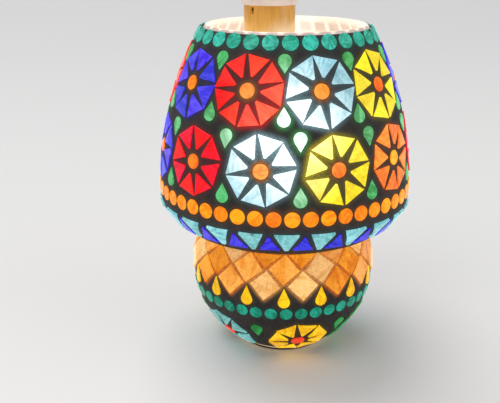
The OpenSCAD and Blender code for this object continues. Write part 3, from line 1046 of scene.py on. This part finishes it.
class LAMP_OT_fittings(bpy.types.Operator):
    """The felt foot, the rubber seat and the ring that carries the shade."""

    bl_idname = "lamp.fittings"
    bl_label = "Foot, Seat and Ring"

    def execute(self, context):
        for node in ("foot_pad", "seat_ring", "gallery_ring"):
            refined(node)
        return {"FINISHED"}


class LAMP_OT_bracket(bpy.types.Operator):
    """The steel strap that hooks over the rim, its rubber pad and its screws."""

    bl_idname = "lamp.bracket"
    bl_label = "Bracket"

    def execute(self, context):
        for node in ("bracket_arm", "rim_pad", "bracket_screws"):
            refined(node)
        return {"FINISHED"}


class LAMP_OT_holder(bpy.types.Operator):
    """The cap, skirt and insert of the lamp holder, with the cord grip."""

    bl_idname = "lamp.holder"
    bl_label = "Lamp Holder"

    def execute(self, context):
        refined("holder_cap", width=0.5 * MM)
        refined("holder_skirt", skirt_material())
        for node in ("holder_insert", "cord_grip", "grip_screws"):
            refined(node)
        return {"FINISHED"}


class LAMP_OT_contacts(bpy.types.Operator):
    """The sleeve, terminals, plungers and springs that take the bulb."""

    bl_idname = "lamp.contacts"
    bl_label = "Sleeve and Contacts"

    def execute(self, context):
        for node in (
            "bayonet_sleeve",
            "terminals",
            "terminal_screws",
            "plunger_left",
            "plunger_right",
        ):
            refined(node)
        for side in ("left", "right"):
            self.spring(side)
        return {"FINISHED"}

    def spring(self, side):
        """A coil of round wire where the spring stands."""
        node = "spring_" + side
        low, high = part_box(node)
        wire = 0.28 * MM
        turns = 4
        steps = 24 * turns
        middle = (low + high) / 2
        bm = bmesh.new()
        ring = bmesh.ops.create_circle(bm, segments=10, radius=wire, cap_ends=False)["verts"]
        bmesh.ops.rotate(
            bm,
            verts=ring,
            cent=(0, 0, 0),
            matrix=Vector((0, -1, 0)).to_track_quat("Z", "Y").to_matrix(),
        )
        start = (high.x - wire, middle.y, low.z + wire)
        bmesh.ops.translate(bm, verts=ring, vec=start)
        rise = (high.z - low.z - 2 * wire) / steps
        bmesh.ops.spin(
            bm,
            geom=bm.verts[:] + bm.edges[:],
            cent=(middle.x, middle.y, 0),
            axis=(0, 0, 1),
            dvec=(0, 0, rise),
            angle=2 * math.pi * turns,
            steps=steps,
            use_merge=False,
        )
        bmesh.ops.holes_fill(bm, edges=[e for e in bm.edges if e.is_boundary], sides=12)
        bmesh.ops.recalc_face_normals(bm, faces=bm.faces)
        made = piece(node + ".coil", bm, [node], fitting_material("spring_wire"), 50)
        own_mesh(made)


class LAMP_OT_bulb(bpy.types.Operator):
    """The lit bulb: glass, cap, pins, contacts, stem and filament."""

    bl_idname = "lamp.bulb"
    bl_label = "Bulb"

    def execute(self, context):
        refined("bulb_glass", bulb_material(), 0)
        refined("bulb_stem", clear_material())
        for node in (
            "bulb_cap",
            "cap_pins",
            "cap_insulator",
            "cap_contacts",
            "lead_wires",
            "filament",
        ):
            refined(node)
        return {"FINISHED"}


class LAMP_OT_stage(bpy.types.Operator):
    """The pale floor, the soft lights and the camera."""

    bl_idname = "lamp.stage"
    bl_label = "Stage"

    def execute(self, context):
        scene = context.scene
        bm = bmesh.new()
        bmesh.ops.create_grid(bm, x_segments=1, y_segments=1, size=4)
        mesh = bpy.data.meshes.new("floor")
        bm.to_mesh(mesh)
        bm.free()
        floor = bpy.data.objects.new("floor", mesh)
        scene.collection.objects.link(floor)
        material, _, shader = new_material("Pale Floor")
        dial(shader, Base_Color=(0.80, 0.79, 0.775, 1), Roughness=0.6)
        mesh.materials.append(material)
        world = bpy.data.worlds.new("Soft Room")
        world.use_nodes = True
        sky = world.node_tree.nodes["Background"]
        sky.inputs["Color"].default_value = (0.95, 0.97, 1.0, 1)
        sky.inputs["Strength"].default_value = 0.42
        scene.world = world
        self.light(scene, "Key", (-0.9, -0.9, 1.5), "AREA", 9, size=1.3)
        self.light(scene, "Fill", (1.3, -0.5, 0.9), "AREA", 4, size=1.2)
        self.light(scene, "Room", (-0.6, 0.9, 2.2), "SUN", 1.5, angle=math.radians(50))
        lens = bpy.data.cameras.new("Camera")
        lens.sensor_width = 36
        lens.lens = LENS
        lens.clip_start = 0.01
        camera = bpy.data.objects.new("Camera", lens)
        camera.location = CAMERA_PLACE
        camera.rotation_euler = (math.radians(90 - CAMERA_DOWN), 0, 0)
        scene.collection.objects.link(camera)
        scene.camera = camera
        scene.view_settings.view_transform = "Standard"
        return {"FINISHED"}

    def light(self, scene, name, place, kind, power, **shape):
        """A soft light that faces the lamp."""
        data = bpy.data.lights.new(name, kind)
        data.energy = power
        for key, value in shape.items():
            setattr(data, key, value)
        made = bpy.data.objects.new(name, data)
        made.location = place
        aim = LIGHT_AIM - Vector(place)
        made.rotation_euler = aim.to_track_quat("-Z", "Y").to_euler()
        scene.collection.objects.link(made)


class LAMP_PT_panel(bpy.types.Panel):
    """Lists the lamp's settings and the steps that build it."""

    bl_idname = "LAMP_PT_panel"
    bl_label = "Mosaic Glass Lamp"
    bl_space_type = "VIEW_3D"
    bl_region_type = "UI"
    bl_category = "Lamp"

    def draw(self, context):
        for values in (context.scene.lamp, context.scene.lamp_colours):
            box = self.layout.box()
            for name in values.__annotations__:
                box.prop(values, name)
        for operator in OPERATORS:
            self.layout.operator(operator.bl_idname)


OPERATORS = (
    LAMP_OT_base_glass,
    LAMP_OT_base_grout,
    LAMP_OT_base_tiles,
    LAMP_OT_shade_glass,
    LAMP_OT_shade_grout,
    LAMP_OT_shade_dots,
    LAMP_OT_shade_flowers,
    LAMP_OT_shade_drops,
    LAMP_OT_shade_triangles,
    LAMP_OT_fittings,
    LAMP_OT_bracket,
    LAMP_OT_holder,
    LAMP_OT_contacts,
    LAMP_OT_bulb,
    LAMP_OT_stage,
)
CLASSES = (LAMP_PG_settings, LAMP_PG_colours, *OPERATORS, LAMP_PT_panel)


def register():
    """Adds the lamp's classes and its settings to the program."""
    for cls in CLASSES:
        bpy.utils.register_class(cls)
    bpy.types.Scene.lamp = bpy.props.PointerProperty(type=LAMP_PG_settings)
    bpy.types.Scene.lamp_colours = bpy.props.PointerProperty(type=LAMP_PG_colours)


def unregister():
    """Takes them away again."""
    del bpy.types.Scene.lamp_colours
    del bpy.types.Scene.lamp
    for cls in reversed(CLASSES):
        bpy.utils.unregister_class(cls)


def main():
    """Runs every step."""
    register()
    for operator in OPERATORS:
        getattr(bpy.ops.lamp, operator.bl_idname.split(".")[1])()


if __name__ == "__main__":
    main()
